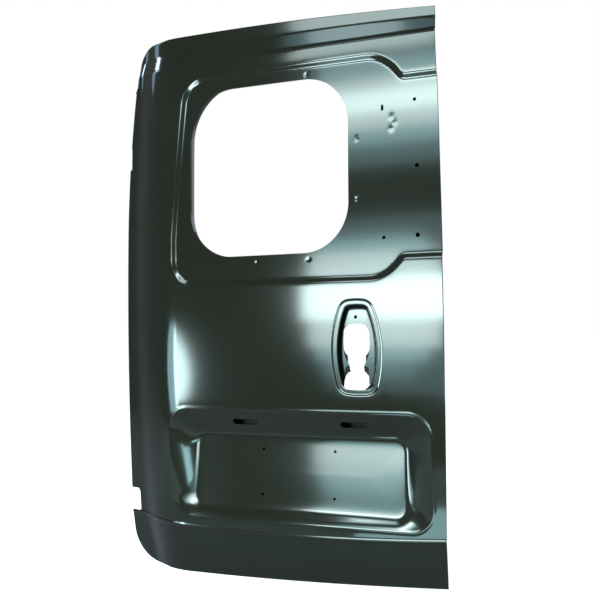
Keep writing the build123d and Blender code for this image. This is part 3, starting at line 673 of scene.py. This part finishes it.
for step, inset in enumerate(WALL_INSETS):
    squeezed = np.minimum(inset - OUTER_INSETS[-1], room * (step + 1) / (len(WALL_INSETS) + 1))
    place_x, place_z = handle_outline(direction, OUTER_INSETS[-1] + squeezed)
    ring_x.append(place_x)
    ring_z.append(place_z)
for share in np.arange(1, FLOOR_RINGS + 1) / FLOOR_RINGS:
    ring_x.append(place_x + (hole_x - place_x) * share)
    ring_z.append(place_z + (level - place_z) * share)
ring_x, ring_z = np.array(ring_x), np.array(ring_z)
from_pin = np.hypot(ring_x - HOLE_X, ring_z - PIN_Z)
moved = crossed_near(from_pin - PIN_RADIUS)
pull = np.where(moved, PIN_RADIUS / np.maximum(from_pin, TINY), 1.0)
ring_x, ring_z = HOLE_X + (ring_x - HOLE_X) * pull, PIN_Z + (ring_z - PIN_Z) * pull
fill_block(border, ring_x, ring_z)
ring_points = np.concatenate([np.zeros((index.size, 2))] + ring_places)
in_pin = np.hypot(ring_points[:, 0] - HOLE_X, ring_points[:, 1] - PIN_Z) < PIN_RADIUS - PIN_SLACK
ring_quads[-1] = ring_quads[-1][~in_pin[ring_quads[-1]].any(1)]
print("rings of the handle recess:", len(ring_x), "of", len(border))

# %% All faces of the outer side
quads = np.concatenate([corner_index[whole]] + ring_quads)
cut_corners = corner_index[cut]
gone = np.argmax(corner_out[cut], -1)
triangles = np.take_along_axis(cut_corners, (gone[:, None] + np.array([1, 2, 3])) % 4, 1)
face_x = np.concatenate([x.ravel()] + [part[:, 0] for part in ring_places])
face_z = np.concatenate([z.ravel()] + [part[:, 1] for part in ring_places])
face_y = pressed_face(face_x, face_z)
face_normal = face_normals(face_x, face_z)
print("quads and triangles of the face:", len(quads), len(triangles))

# %% [markdown]
# ## Edges of the sheet
# Round the door the sheet is folded back over the inner panel's flange, which is called a hem. Round the
# window it is turned in. Both start at the free edges of the face, so they follow it exactly.

# %% Free edges of the sheet
def free_edges(quads, triangles):
    """Directed edges that belong to one face only."""
    starts = np.concatenate([quads.ravel(), triangles.ravel()])
    ends = np.concatenate([np.roll(quads, -1, 1).ravel(), np.roll(triangles, -1, 1).ravel()])
    size = max(starts.max(), ends.max()) + 1
    single = ~np.isin(starts * size + ends, ends * size + starts)
    return np.stack([starts[single], ends[single]], -1)


AT_EDGE = 0.2
edges = free_edges(quads, triangles)
at_window = np.abs(rounded_rectangle(face_x, face_z, *WINDOW)) < AT_EDGE
border_flag = np.zeros(len(face_x), bool)
border_flag[:count_x * count_z] = on_border.ravel()
on_corner = np.abs(corner_cut(face_x, face_z)) < AT_EDGE
in_gap = hinge_gaps(face_x, face_z) > -AT_EDGE
on_outline = (border_flag & ~in_gap) | on_corner
hem_edges = edges[on_outline[edges].all(1)]
window_edges = edges[at_window[edges].all(1)]
print("hem and window edges:", len(hem_edges), len(window_edges))


# %% Fold the hem and turn in the window edge
def outward(edges):
    """Unit directions out of the sheet, across and up, at the vertices of its free edges: each edge turned
    by a quarter, averaged where two edges meet."""
    first, second = edges.T
    across = unit(np.stack([face_z[second] - face_z[first], face_x[first] - face_x[second]], -1))
    total = np.zeros((len(face_x), 2))
    np.add.at(total, first, across)
    np.add.at(total, second, across)
    return unit(total)


# Profiles: how far in from the edge, how far behind the face
HEM = [(0.2, 1.6), (1.4, 3.6), (12.0, 3.6)]
RETURN = [(0.0, 2.0), (0.0, 7.0)]
HEM_TILT = 0.7
edge_tilt = np.zeros((len(face_x), 3))
edge_tilt[:, [0, 2]] = outward(hem_edges)
face_normal = unit(face_normal + HEM_TILT * edge_tilt)
points = [np.stack([face_x, face_y, face_z], -1)]
strip_quads, strip_normals = [], []
next_index = len(face_x)
for edge_set, profile in ((hem_edges, HEM), (window_edges, RETURN)):
    ring, local = np.unique(edge_set, return_inverse=True)
    local = local.reshape(-1, 2)
    out = outward(edge_set)[ring]
    level = ring
    sideways = np.stack([out[:, 0], np.zeros(len(ring)), out[:, 1]], -1)
    past = (0.0, 0.0)
    for inset, depth in profile:
        new_x = face_x[ring] - out[:, 0] * inset
        new_z = face_z[ring] - out[:, 1] * inset
        new_y = plain_face(new_x, new_z) + window_recess(new_x, new_z) + depth
        points.append(np.stack([new_x, new_y, new_z], -1))
        new_level = next_index + np.arange(len(ring))
        next_index += len(ring)
        strip_quads.append(np.stack([level[local[:, 1]], level[local[:, 0]],
                                     new_level[local[:, 0]], new_level[local[:, 1]]], -1))
        lean = unit(np.array([depth - past[1], inset - past[0]]))
        normal = sideways * lean[0] + np.array([0, 1, 0]) * lean[1]
        strip_normals.append(normal[local[:, [1, 0, 0, 1]]])
        level, past = new_level, (inset, depth)
sheet_points = np.concatenate(points)
strips = np.concatenate(strip_quads)
print("hem and return faces:", len(strips))

# %% [markdown]
# ## The sheet as two closed pieces
# The sheet gets its thickness by a copy of every vertex on the inner side. One mesh of it would be heavy,
# so it is built as an upper and a lower piece that meet along one row of the grid, below the window. Normals
# come from the formula, so the reflections run across that line without a break.

# %% Inner side of the sheet
SHEET, SEAM_NEAR_Z = 1.0, 522.0
SEAM_Z = rows[np.searchsorted(rows, SEAM_NEAR_Z)]


def geometric_normals(points, faces):
    """Average direction of the four-sided faces round each vertex, from the cross of their diagonals."""
    across = np.cross(points[faces[:, 2]] - points[faces[:, 0]], points[faces[:, 3]] - points[faces[:, 1]])
    total = np.zeros_like(points)
    for corner in faces.T:
        np.add.at(total, corner, across)
    return unit(total)


outer_quads = np.concatenate([quads, strips])
offset_normal = geometric_normals(sheet_points, outer_quads)
off_strips = np.setdiff1d(np.arange(len(face_x)), strips)
offset_normal[off_strips] = face_normal[off_strips]
sheet_count = len(sheet_points)
all_points = np.concatenate([sheet_points, sheet_points - SHEET * offset_normal])
quad_normals = np.concatenate([face_normal[quads]] + strip_normals)
triangle_normals = face_normal[triangles]
print("seam at", SEAM_Z.round(1), "and vertices of both sides:", len(all_points))


# %% Build the two pieces
def build_sheet(name, quads, quad_normals, triangles, triangle_normals):
    """Closed piece of the sheet: its outer faces, the same faces turned round on the inner side, and a rim
    along every free edge."""
    edges = free_edges(quads, triangles)
    rim = np.stack([edges[:, 1], edges[:, 0], edges[:, 0] + sheet_count, edges[:, 1] + sheet_count], -1)
    corner = all_points[rim]
    rim_normal = unit(np.cross(corner[:, 2] - corner[:, 0], corner[:, 3] - corner[:, 1]))
    four = np.concatenate([quads, quads[:, ::-1] + sheet_count, rim])
    three = np.concatenate([triangles, triangles[:, ::-1] + sheet_count])
    normals = np.concatenate([
        quad_normals.reshape(-1, 3), -quad_normals[:, ::-1].reshape(-1, 3), np.repeat(rim_normal, 4, axis=0),
        triangle_normals.reshape(-1, 3), -triangle_normals[:, ::-1].reshape(-1, 3)])
    used = np.zeros(len(all_points), bool)
    used[four] = True
    used[three] = True
    renumber = np.cumsum(used) - 1
    mesh = bpy.data.meshes.new(name)
    mesh.from_pydata(all_points[used] * METRES, [], renumber[four].tolist() + renumber[three].tolist())
    mesh.polygons.foreach_set("use_smooth", np.ones(len(mesh.polygons), bool))
    mesh.normals_split_custom_set(normals.tolist())
    piece = bpy.data.objects.new(name, mesh)
    bpy.context.scene.collection.objects.link(piece)
    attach(piece, "root")
    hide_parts("outer_skin", "plate_recess", "handle_recess")
    print(name, "triangles:", 2 * len(four) + len(three))
    return piece


quad_up = sheet_points[outer_quads][..., 2].mean(1) > SEAM_Z
triangle_up = sheet_points[triangles][..., 2].mean(1) > SEAM_Z
halves = [("pressed_skin_upper", quad_up, triangle_up), ("pressed_skin_lower", ~quad_up, ~triangle_up)]
skin_pieces = []
for name, part, triangle_part in halves:
    skin_pieces.append(build_sheet(name, outer_quads[part], quad_normals[part],
                                   triangles[triangle_part], triangle_normals[triangle_part]))

# %% [markdown]
# ## Tabs at the keyhole's neck
# Two short tongues of the recess's sheet are bent back at the neck and guide the handle's foot. Each is a
# small strip of its own here, because the keyhole's edge is drawn with one half width for each level.

# %% Two bent tongues
TAB_INNER, TAB_OUTER, TAB_TOP, TAB_LENGTH = 17.0, 24.0, 347.0, 14.0
TAB_SINK, TAB_GAP, TAB_ROWS, TAB_COLUMNS = 5.0, 0.2, 9, 4


def bent_tongue(along, across, side):
    """Points of one tongue: it runs down from its top end and sinks with the square of the way along."""
    tab_x = HOLE_X + side * (TAB_INNER + (TAB_OUTER - TAB_INNER) * across)
    tab_z = TAB_TOP - TAB_LENGTH * along
    root_y = pressed_face(np.full_like(tab_x, HANDLE_X), np.full_like(tab_z, TAB_TOP)).min()
    return np.stack([tab_x, root_y + TAB_GAP + TAB_SINK * along ** 2, tab_z], -1)


def closed_strip(front, back):
    """Vertices and faces of a closed strip between two equal grids of points."""
    number = np.arange(front[..., 0].size).reshape(front.shape[:2])
    cell = np.stack([number[:-1, :-1], number[1:, :-1], number[1:, 1:], number[:-1, 1:]], -1)
    cell = cell.reshape(-1, 4)
    loop = np.concatenate([number[:-1, 0], number[-1, :-1], number[:0:-1, -1], number[0, :0:-1]])
    ahead = np.roll(loop, -1)
    side = np.stack([ahead, loop, loop + number.size, ahead + number.size], -1)
    faces = np.concatenate([cell, cell[:, ::-1] + number.size, side])
    return np.concatenate([front.reshape(-1, 3), back.reshape(-1, 3)]), faces


along, across = np.meshgrid(np.linspace(0, 1, TAB_ROWS), np.linspace(0, 1, TAB_COLUMNS), indexing="ij")
tab_points, tab_faces = [], []
for side in (-1, 1):
    front = bent_tongue(along, across, side)
    strip_points, strip_faces = closed_strip(front, front + np.array([0.0, SHEET, 0.0]))
    tab_faces.append(strip_faces[:, ::side] + sum(len(part) for part in tab_points))
    tab_points.append(strip_points)
tab_mesh = bpy.data.meshes.new("keyhole_tabs")
tab_mesh.from_pydata(np.concatenate(tab_points) * METRES, [], np.concatenate(tab_faces).tolist())
keyhole_tabs = bpy.data.objects.new("keyhole_tabs", tab_mesh)
bpy.context.scene.collection.objects.link(keyhole_tabs)
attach(keyhole_tabs, "root")
skin_pieces.append(keyhole_tabs)
print("tabs:", len(tab_points))

# %% [markdown]
# ## Primer
# Dip primer is a thin, nearly black film with a slight green cast, smooth but not mirror-like. Two shared
# effects give it life: orange peel, the film's own fine waviness, and dust that has settled from handling.
# The panels' faces that look at the skin are marked with an attribute and get no gloss. That is painted
# shade,
# not a known finish: with gloss they mirror the room, and the lamp slots come out too light.

# %% Shared effects
def effect_group(name, inputs, outputs):
    """Empty shader node group with named float inputs and outputs."""
    group = bpy.data.node_groups.new(name, "ShaderNodeTree")
    for socket, value in inputs.items():
        made = group.interface.new_socket(socket, in_out="INPUT", socket_type="NodeSocketFloat")
        made.default_value = value
    group.interface.new_socket("Vector", in_out="INPUT", socket_type="NodeSocketVector")
    for socket in outputs:
        group.interface.new_socket(socket, in_out="OUTPUT", socket_type="NodeSocketFloat")
    return group, group.nodes.new("NodeGroupInput"), group.nodes.new("NodeGroupOutput")


def noise(tree, vector, scale, detail, roughness=0.5):
    """Noise texture node on the given coordinates, with its scale from a socket."""
    node = tree.nodes.new("ShaderNodeTexNoise")
    node.inputs["Detail"].default_value = detail
    node.inputs["Roughness"].default_value = roughness
    tree.links.new(vector, node.inputs["Vector"])
    tree.links.new(scale, node.inputs["Scale"])
    return node.outputs["Fac"]


def math(tree, operation, one, other):
    """Math node on sockets or numbers."""
    node = tree.nodes.new("ShaderNodeMath")
    node.operation = operation
    for socket, value in zip(node.inputs, (one, other)):
        if isinstance(value, (int, float)):
            socket.default_value = value
        else:
            tree.links.new(value, socket)
    return node.outputs[0]


PEEL_INPUTS = {"Scale": 180.0, "Waves": 5.0, "Wave share": 0.5}
PEEL_SHARE = 0.008
peel_group, peel_in, peel_out = effect_group("orange_peel", PEEL_INPUTS, ["Height"])
fine = noise(peel_group, peel_in.outputs["Vector"], peel_in.outputs["Scale"], detail=1.0)
broad = noise(peel_group, peel_in.outputs["Vector"], peel_in.outputs["Waves"], detail=1.0)
broad = math(peel_group, "MULTIPLY", broad, peel_in.outputs["Wave share"])
height = math(peel_group, "ADD", math(peel_group, "MULTIPLY", fine, PEEL_SHARE), broad)
peel_group.links.new(height, peel_out.inputs["Height"])

DUST_INPUTS = {"Patches": 6.0, "Specks": 260.0, "Amount": 0.5}
DUST_CONTRAST = 2.0
dust_group, dust_in, dust_out = effect_group("settled_dust", DUST_INPUTS, ["Mask"])
patches = noise(dust_group, dust_in.outputs["Vector"], dust_in.outputs["Patches"], detail=4.0, roughness=0.6)
specks = noise(dust_group, dust_in.outputs["Vector"], dust_in.outputs["Specks"], detail=2.0, roughness=0.7)
both = math(dust_group, "MULTIPLY", math(dust_group, "POWER", patches, DUST_CONTRAST), specks)
dust_group.links.new(math(dust_group, "MULTIPLY", both, dust_in.outputs["Amount"]), dust_out.inputs["Mask"])
print("effects:", [group.name for group in bpy.data.node_groups])


# %% Primer materials
FILM_IOR, FILM_TINT, SLANT_POWER = 1.34, (0.9, 1.0, 0.75, 1), 2.2


def primer(name, colour, dust_colour, roughness, rough_spread, dust, peel, gloss):
    """Dark dip primer: a glossy film whose roughness and colour are varied by dust, and whose surface has
    a fine orange peel. It mirrors most where it is seen square on. Faces marked as inside the door get no
    gloss, which paints shade there."""
    material = bpy.data.materials.new(name)
    material.use_nodes = True
    tree = material.node_tree
    shader = tree.nodes["Principled BSDF"]
    place = tree.nodes.new("ShaderNodeTexCoord").outputs["Object"]
    dusty = tree.nodes.new("ShaderNodeGroup")
    dusty.node_tree = dust_group
    dusty.inputs["Amount"].default_value = dust
    peeled = tree.nodes.new("ShaderNodeGroup")
    peeled.node_tree = peel_group
    tree.links.new(place, dusty.inputs["Vector"])
    tree.links.new(place, peeled.inputs["Vector"])
    tint = tree.nodes.new("ShaderNodeMix")
    tint.data_type = "RGBA"
    tint.inputs["A"].default_value = (*colour, 1)
    tint.inputs["B"].default_value = (*dust_colour, 1)
    tree.links.new(dusty.outputs["Mask"], tint.inputs["Factor"])
    tree.links.new(tint.outputs["Result"], shader.inputs["Base Color"])
    rough = math(tree, "ADD", math(tree, "MULTIPLY", dusty.outputs["Mask"], rough_spread), roughness)
    tree.links.new(rough, shader.inputs["Roughness"])
    bump = tree.nodes.new("ShaderNodeBump")
    bump.inputs["Strength"].default_value = 1.0
    bump.inputs["Distance"].default_value = peel
    tree.links.new(peeled.outputs["Height"], bump.inputs["Height"])
    tree.links.new(bump.outputs["Normal"], shader.inputs["Normal"])
    shader.inputs["IOR"].default_value = FILM_IOR
    slant = tree.nodes.new("ShaderNodeLayerWeight").outputs["Facing"]
    upright = math(tree, "POWER", math(tree, "SUBTRACT", 1.0, slant), SLANT_POWER)
    # Painted shade: faces marked as looking at the skin lose their gloss, so they come out dark.
    painted_cavity_shade = tree.nodes.new("ShaderNodeAttribute")
    painted_cavity_shade.attribute_name = "painted_cavity_shade"
    outside_painted_shade = math(tree, "SUBTRACT", 1.0, painted_cavity_shade.outputs["Fac"])
    shine = math(tree, "MULTIPLY", upright, math(tree, "MULTIPLY", outside_painted_shade, gloss))
    tree.links.new(shine, shader.inputs["Specular IOR Level"])
    shader.inputs["Specular Tint"].default_value = FILM_TINT
    return material


SKIN_COLOUR, SKIN_DUST = (0.0014, 0.0018, 0.0009), (0.05, 0.055, 0.045)
# The panels have the skin's primer, but their colour is made lighter than the skin's: painted light, since
# few lamps reach them.
PANEL_COLOUR_AND_PAINTED_LIGHT, PANEL_DUST = (0.006, 0.0075, 0.006), (0.06, 0.06, 0.05)
CAVITY_FACING = -0.5
skin_primer = primer("skin_primer", SKIN_COLOUR, SKIN_DUST, roughness=0.095, rough_spread=0.12,
                     dust=0.06, peel=0.0001, gloss=0.4)
panel_primer = primer("panel_primer", PANEL_COLOUR_AND_PAINTED_LIGHT, PANEL_DUST, roughness=0.25, rough_spread=0.35,
                      dust=0.3, peel=0.0002, gloss=0.9)
for piece in skin_pieces:
    piece.data.materials.append(skin_primer)
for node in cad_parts.values():
    node.data.materials.clear()
    node.data.materials.append(panel_primer)
    normals = np.empty(3 * len(node.data.polygons))
    node.data.polygons.foreach_get("normal", normals)
    # Painted shade: faces that look at the skin are marked here, and the primer takes their gloss away.
    at_skin = normals.reshape(-1, 3)[:, 1] < CAVITY_FACING
    painted_cavity_shade = node.data.attributes.new("painted_cavity_shade", "FLOAT", "FACE")
    painted_cavity_shade.data.foreach_set("value", at_skin.astype(np.float32))
print("materials:", [material.name for material in bpy.data.materials])

# %% [markdown]
# ## Studio
# The floor and the room are plain and white. A dark glossy panel shows lamps rather than colour, so soft
# lamps in front give it broad white reflections. The main ones are small bright boxes inside larger, dimmer
# ones, which is how a softbox falls off towards its edge. A lamp's place follows from mirroring: the line
# from the camera to a highlight, turned back at the skin, runs to its lamp.

# %% Floor: white to the camera where no shadow falls
FLOOR_GAP, FLOOR_FRONT, FLOOR_REACH = 0.0005, -1.2, 14.0
FLOOR_WHITE, FLOOR_GLOW = (0.6, 0.6, 0.6, 1), 0.62
floor_z = cad_low.z - FLOOR_GAP
floor_mesh = bpy.data.meshes.new("floor")
floor_corners = [(-FLOOR_REACH, FLOOR_FRONT, floor_z), (FLOOR_REACH, FLOOR_FRONT, floor_z),
                 (FLOOR_REACH, FLOOR_REACH, floor_z), (-FLOOR_REACH, FLOOR_REACH, floor_z)]
floor_mesh.from_pydata(floor_corners, [], [(0, 1, 2, 3)])
floor = bpy.data.objects.new("floor", floor_mesh)
bpy.context.scene.collection.objects.link(floor)
floor_paint = bpy.data.materials.new("floor_paint")
floor_paint.use_nodes = True
floor_tree = floor_paint.node_tree
floor_shader = floor_tree.nodes["Principled BSDF"]
floor_shader.inputs["Base Color"].default_value = FLOOR_WHITE
floor_shader.inputs["Roughness"].default_value = 0.9
floor_shader.inputs["Specular IOR Level"].default_value = 0.1
floor_shader.inputs["Emission Color"].default_value = (1, 1, 1, 1)
floor_seen = floor_tree.nodes.new("ShaderNodeLightPath")
floor_shown = math(floor_tree, "MAXIMUM", floor_seen.outputs["Is Camera Ray"],
                   floor_seen.outputs["Is Transmission Ray"])
floor_shown = math(floor_tree, "MAXIMUM", floor_shown, floor_seen.outputs["Is Glossy Ray"])
floor_glow = math(floor_tree, "MULTIPLY", floor_shown, FLOOR_GLOW)
floor_tree.links.new(floor_glow, floor_shader.inputs["Emission Strength"])
floor_mesh.materials.append(floor_paint)
print("floor at", round(floor_z, 4))

# %% Room light: white to the camera and in reflections, dimmer as a lamp
SEEN_LEVEL, LAMP_LEVEL = 1.0, 0.6
world = bpy.data.worlds.new("pale_room")
bpy.context.scene.world = world
world.use_nodes = True
room = world.node_tree
room.nodes.clear()
seen = room.nodes.new("ShaderNodeLightPath")
shown = math(room, "MAXIMUM", seen.outputs["Is Camera Ray"], seen.outputs["Is Transmission Ray"])
shown = math(room, "MAXIMUM", shown, seen.outputs["Is Glossy Ray"])
white = room.nodes.new("ShaderNodeBackground")
white.inputs["Color"].default_value = (1, 1, 1, 1)
white.inputs["Strength"].default_value = SEEN_LEVEL
lamp_level = room.nodes.new("ShaderNodeBackground")
lamp_level.inputs["Color"].default_value = (1, 1, 1, 1)
lamp_level.inputs["Strength"].default_value = LAMP_LEVEL
mixed = room.nodes.new("ShaderNodeMixShader")
room.links.new(shown, mixed.inputs["Fac"])
room.links.new(lamp_level.outputs[0], mixed.inputs[1])
room.links.new(white.outputs[0], mixed.inputs[2])
output = room.nodes.new("ShaderNodeOutputWorld")
room.links.new(mixed.outputs[0], output.inputs["Surface"])
print("room light, seen and as a lamp:", SEEN_LEVEL, LAMP_LEVEL)

# %% Softboxes
CORE_COLOUR, EDGE_COLOUR = (0.66, 0.77, 1.0), (0.44, 0.71, 1.0)
LAMP_Y = -2.9


def softbox(name, place, target, wide, tall, radiance, colour, shape="RECTANGLE"):
    """Flat lamp that faces a point and isn't seen itself. Its power is radiance times pi times its area."""
    lamp = bpy.data.lights.new(name, "AREA")
    lamp.shape = shape
    lamp.color = colour
    lamp.size, lamp.size_y = wide, tall
    fill = np.pi / 4 if shape == "ELLIPSE" else 1.0
    lamp.energy = radiance * np.pi * wide * tall * fill
    holder = bpy.data.objects.new(name, lamp)
    bpy.context.scene.collection.objects.link(holder)
    holder.visible_camera = False
    holder.location = place
    holder.rotation_euler = (Vector(target) - Vector(place)).to_track_quat("-Z", "Y").to_euler()


def front_lamp(name, left, right, low, high, radiance, colour):
    """Softbox on the plane in front of the door, given by its four sides."""
    middle_x, middle_z = (left + right) / 2, (low + high) / 2
    place, target = (middle_x, LAMP_Y, middle_z), (middle_x, 0, middle_z)
    softbox(name, place, target, right - left, high - low, radiance, colour)


# Name, left, right, low and high side in metres, radiance, colour
FRONT_LAMPS = [
    ("front_core", -0.91, 0.15, 0.42, 0.72, 115, CORE_COLOUR),
    ("front_middle", -0.87, 0.00, 0.22, 0.90, 54, CORE_COLOUR),
    ("front_outer", -0.82, -0.08, 0.12, 0.98, 31, EDGE_COLOUR),
    ("front_wide", -0.77, -0.16, 0.00, 1.04, 14, EDGE_COLOUR),
    ("front_faint", -0.75, 0.15, -0.12, 1.15, 6, EDGE_COLOUR),
    ("high_core", -0.87, 0.15, 1.93, 2.10, 95, CORE_COLOUR),
    ("high_middle", -0.87, 0.15, 1.80, 2.20, 50, CORE_COLOUR),
    ("high_wide", -0.87, 0.15, 1.68, 2.34, 27, EDGE_COLOUR),
    ("high_faint", -0.87, 0.15, 1.52, 2.42, 9, EDGE_COLOUR),
    ("top_strip", -1.10, -0.05, 2.42, 2.90, 44, CORE_COLOUR),
    ("low_lock", 0.05, 1.35, -0.15, 0.06, 46, EDGE_COLOUR),
]
for lamp in FRONT_LAMPS:
    front_lamp(*lamp)

HINGE_TARGET, CORNER_TARGET = (0.13, -0.1, 0.30), (0.07, -0.05, 1.09)
FLOOR_LAMP_Z = floor_z + 0.01
# Name, place, target, width, height, radiance, colour
ROUND_LAMPS = [
    ("ceiling", (-0.33, -1.69, 2.9), (-0.33, -0.1, 1.1), 0.56, 0.36, 26, CORE_COLOUR),
    ("ceiling_wide", (-0.30, -1.67, 2.92), (-0.30, -0.1, 1.1), 0.90, 0.52, 10, EDGE_COLOUR),
    ("hinge_core", (-1.10, -1.68, 0.145), HINGE_TARGET, 0.26, 0.54, 90, CORE_COLOUR),
    ("hinge_wide", (-1.22, -1.54, 0.145), HINGE_TARGET, 0.62, 0.56, 40, EDGE_COLOUR),
    ("floor_lock", (0.60, -0.50, FLOOR_LAMP_Z), (0.60, -0.50, 1.0), 0.36, 0.34, 26, EDGE_COLOUR),
    ("corner_core", (-1.66, -0.10, 2.06), CORNER_TARGET, 0.26, 0.26, 80, CORE_COLOUR),
    ("corner_wide", (-1.76, -0.12, 1.95), CORNER_TARGET, 0.40, 0.70, 14, EDGE_COLOUR),
]
for lamp in ROUND_LAMPS:
    softbox(*lamp, shape="ELLIPSE")
softbox("rear", (0.9, 2.4, 1.3), (0.36, 0.0, 0.5), 1.3, 1.1, 9, CORE_COLOUR)
print("lamps:", len(bpy.data.lights))

# %% Camera at the photograph's angle
CAMERA_PLACE, CAMERA_LOOK = (1.38016, -2.16576, 0.497), (-0.40674, 0.91355, 0.0)
CAMERA_ROLL, LENS, SENSOR = np.radians(-1.5), 59.36, 36.0
camera_data = bpy.data.cameras.new("camera")
camera_data.lens = LENS
camera_data.sensor_width = SENSOR
camera = bpy.data.objects.new("camera", camera_data)
bpy.context.scene.collection.objects.link(camera)
turn = Vector(CAMERA_LOOK).to_track_quat("-Z", "Y").to_matrix() @ Matrix.Rotation(CAMERA_ROLL, 3, "Z")
camera.matrix_world = Matrix.Translation(CAMERA_PLACE) @ turn.to_4x4()
bpy.context.scene.camera = camera
bpy.context.scene.view_settings.view_transform = "Standard"
print("camera at", CAMERA_PLACE)
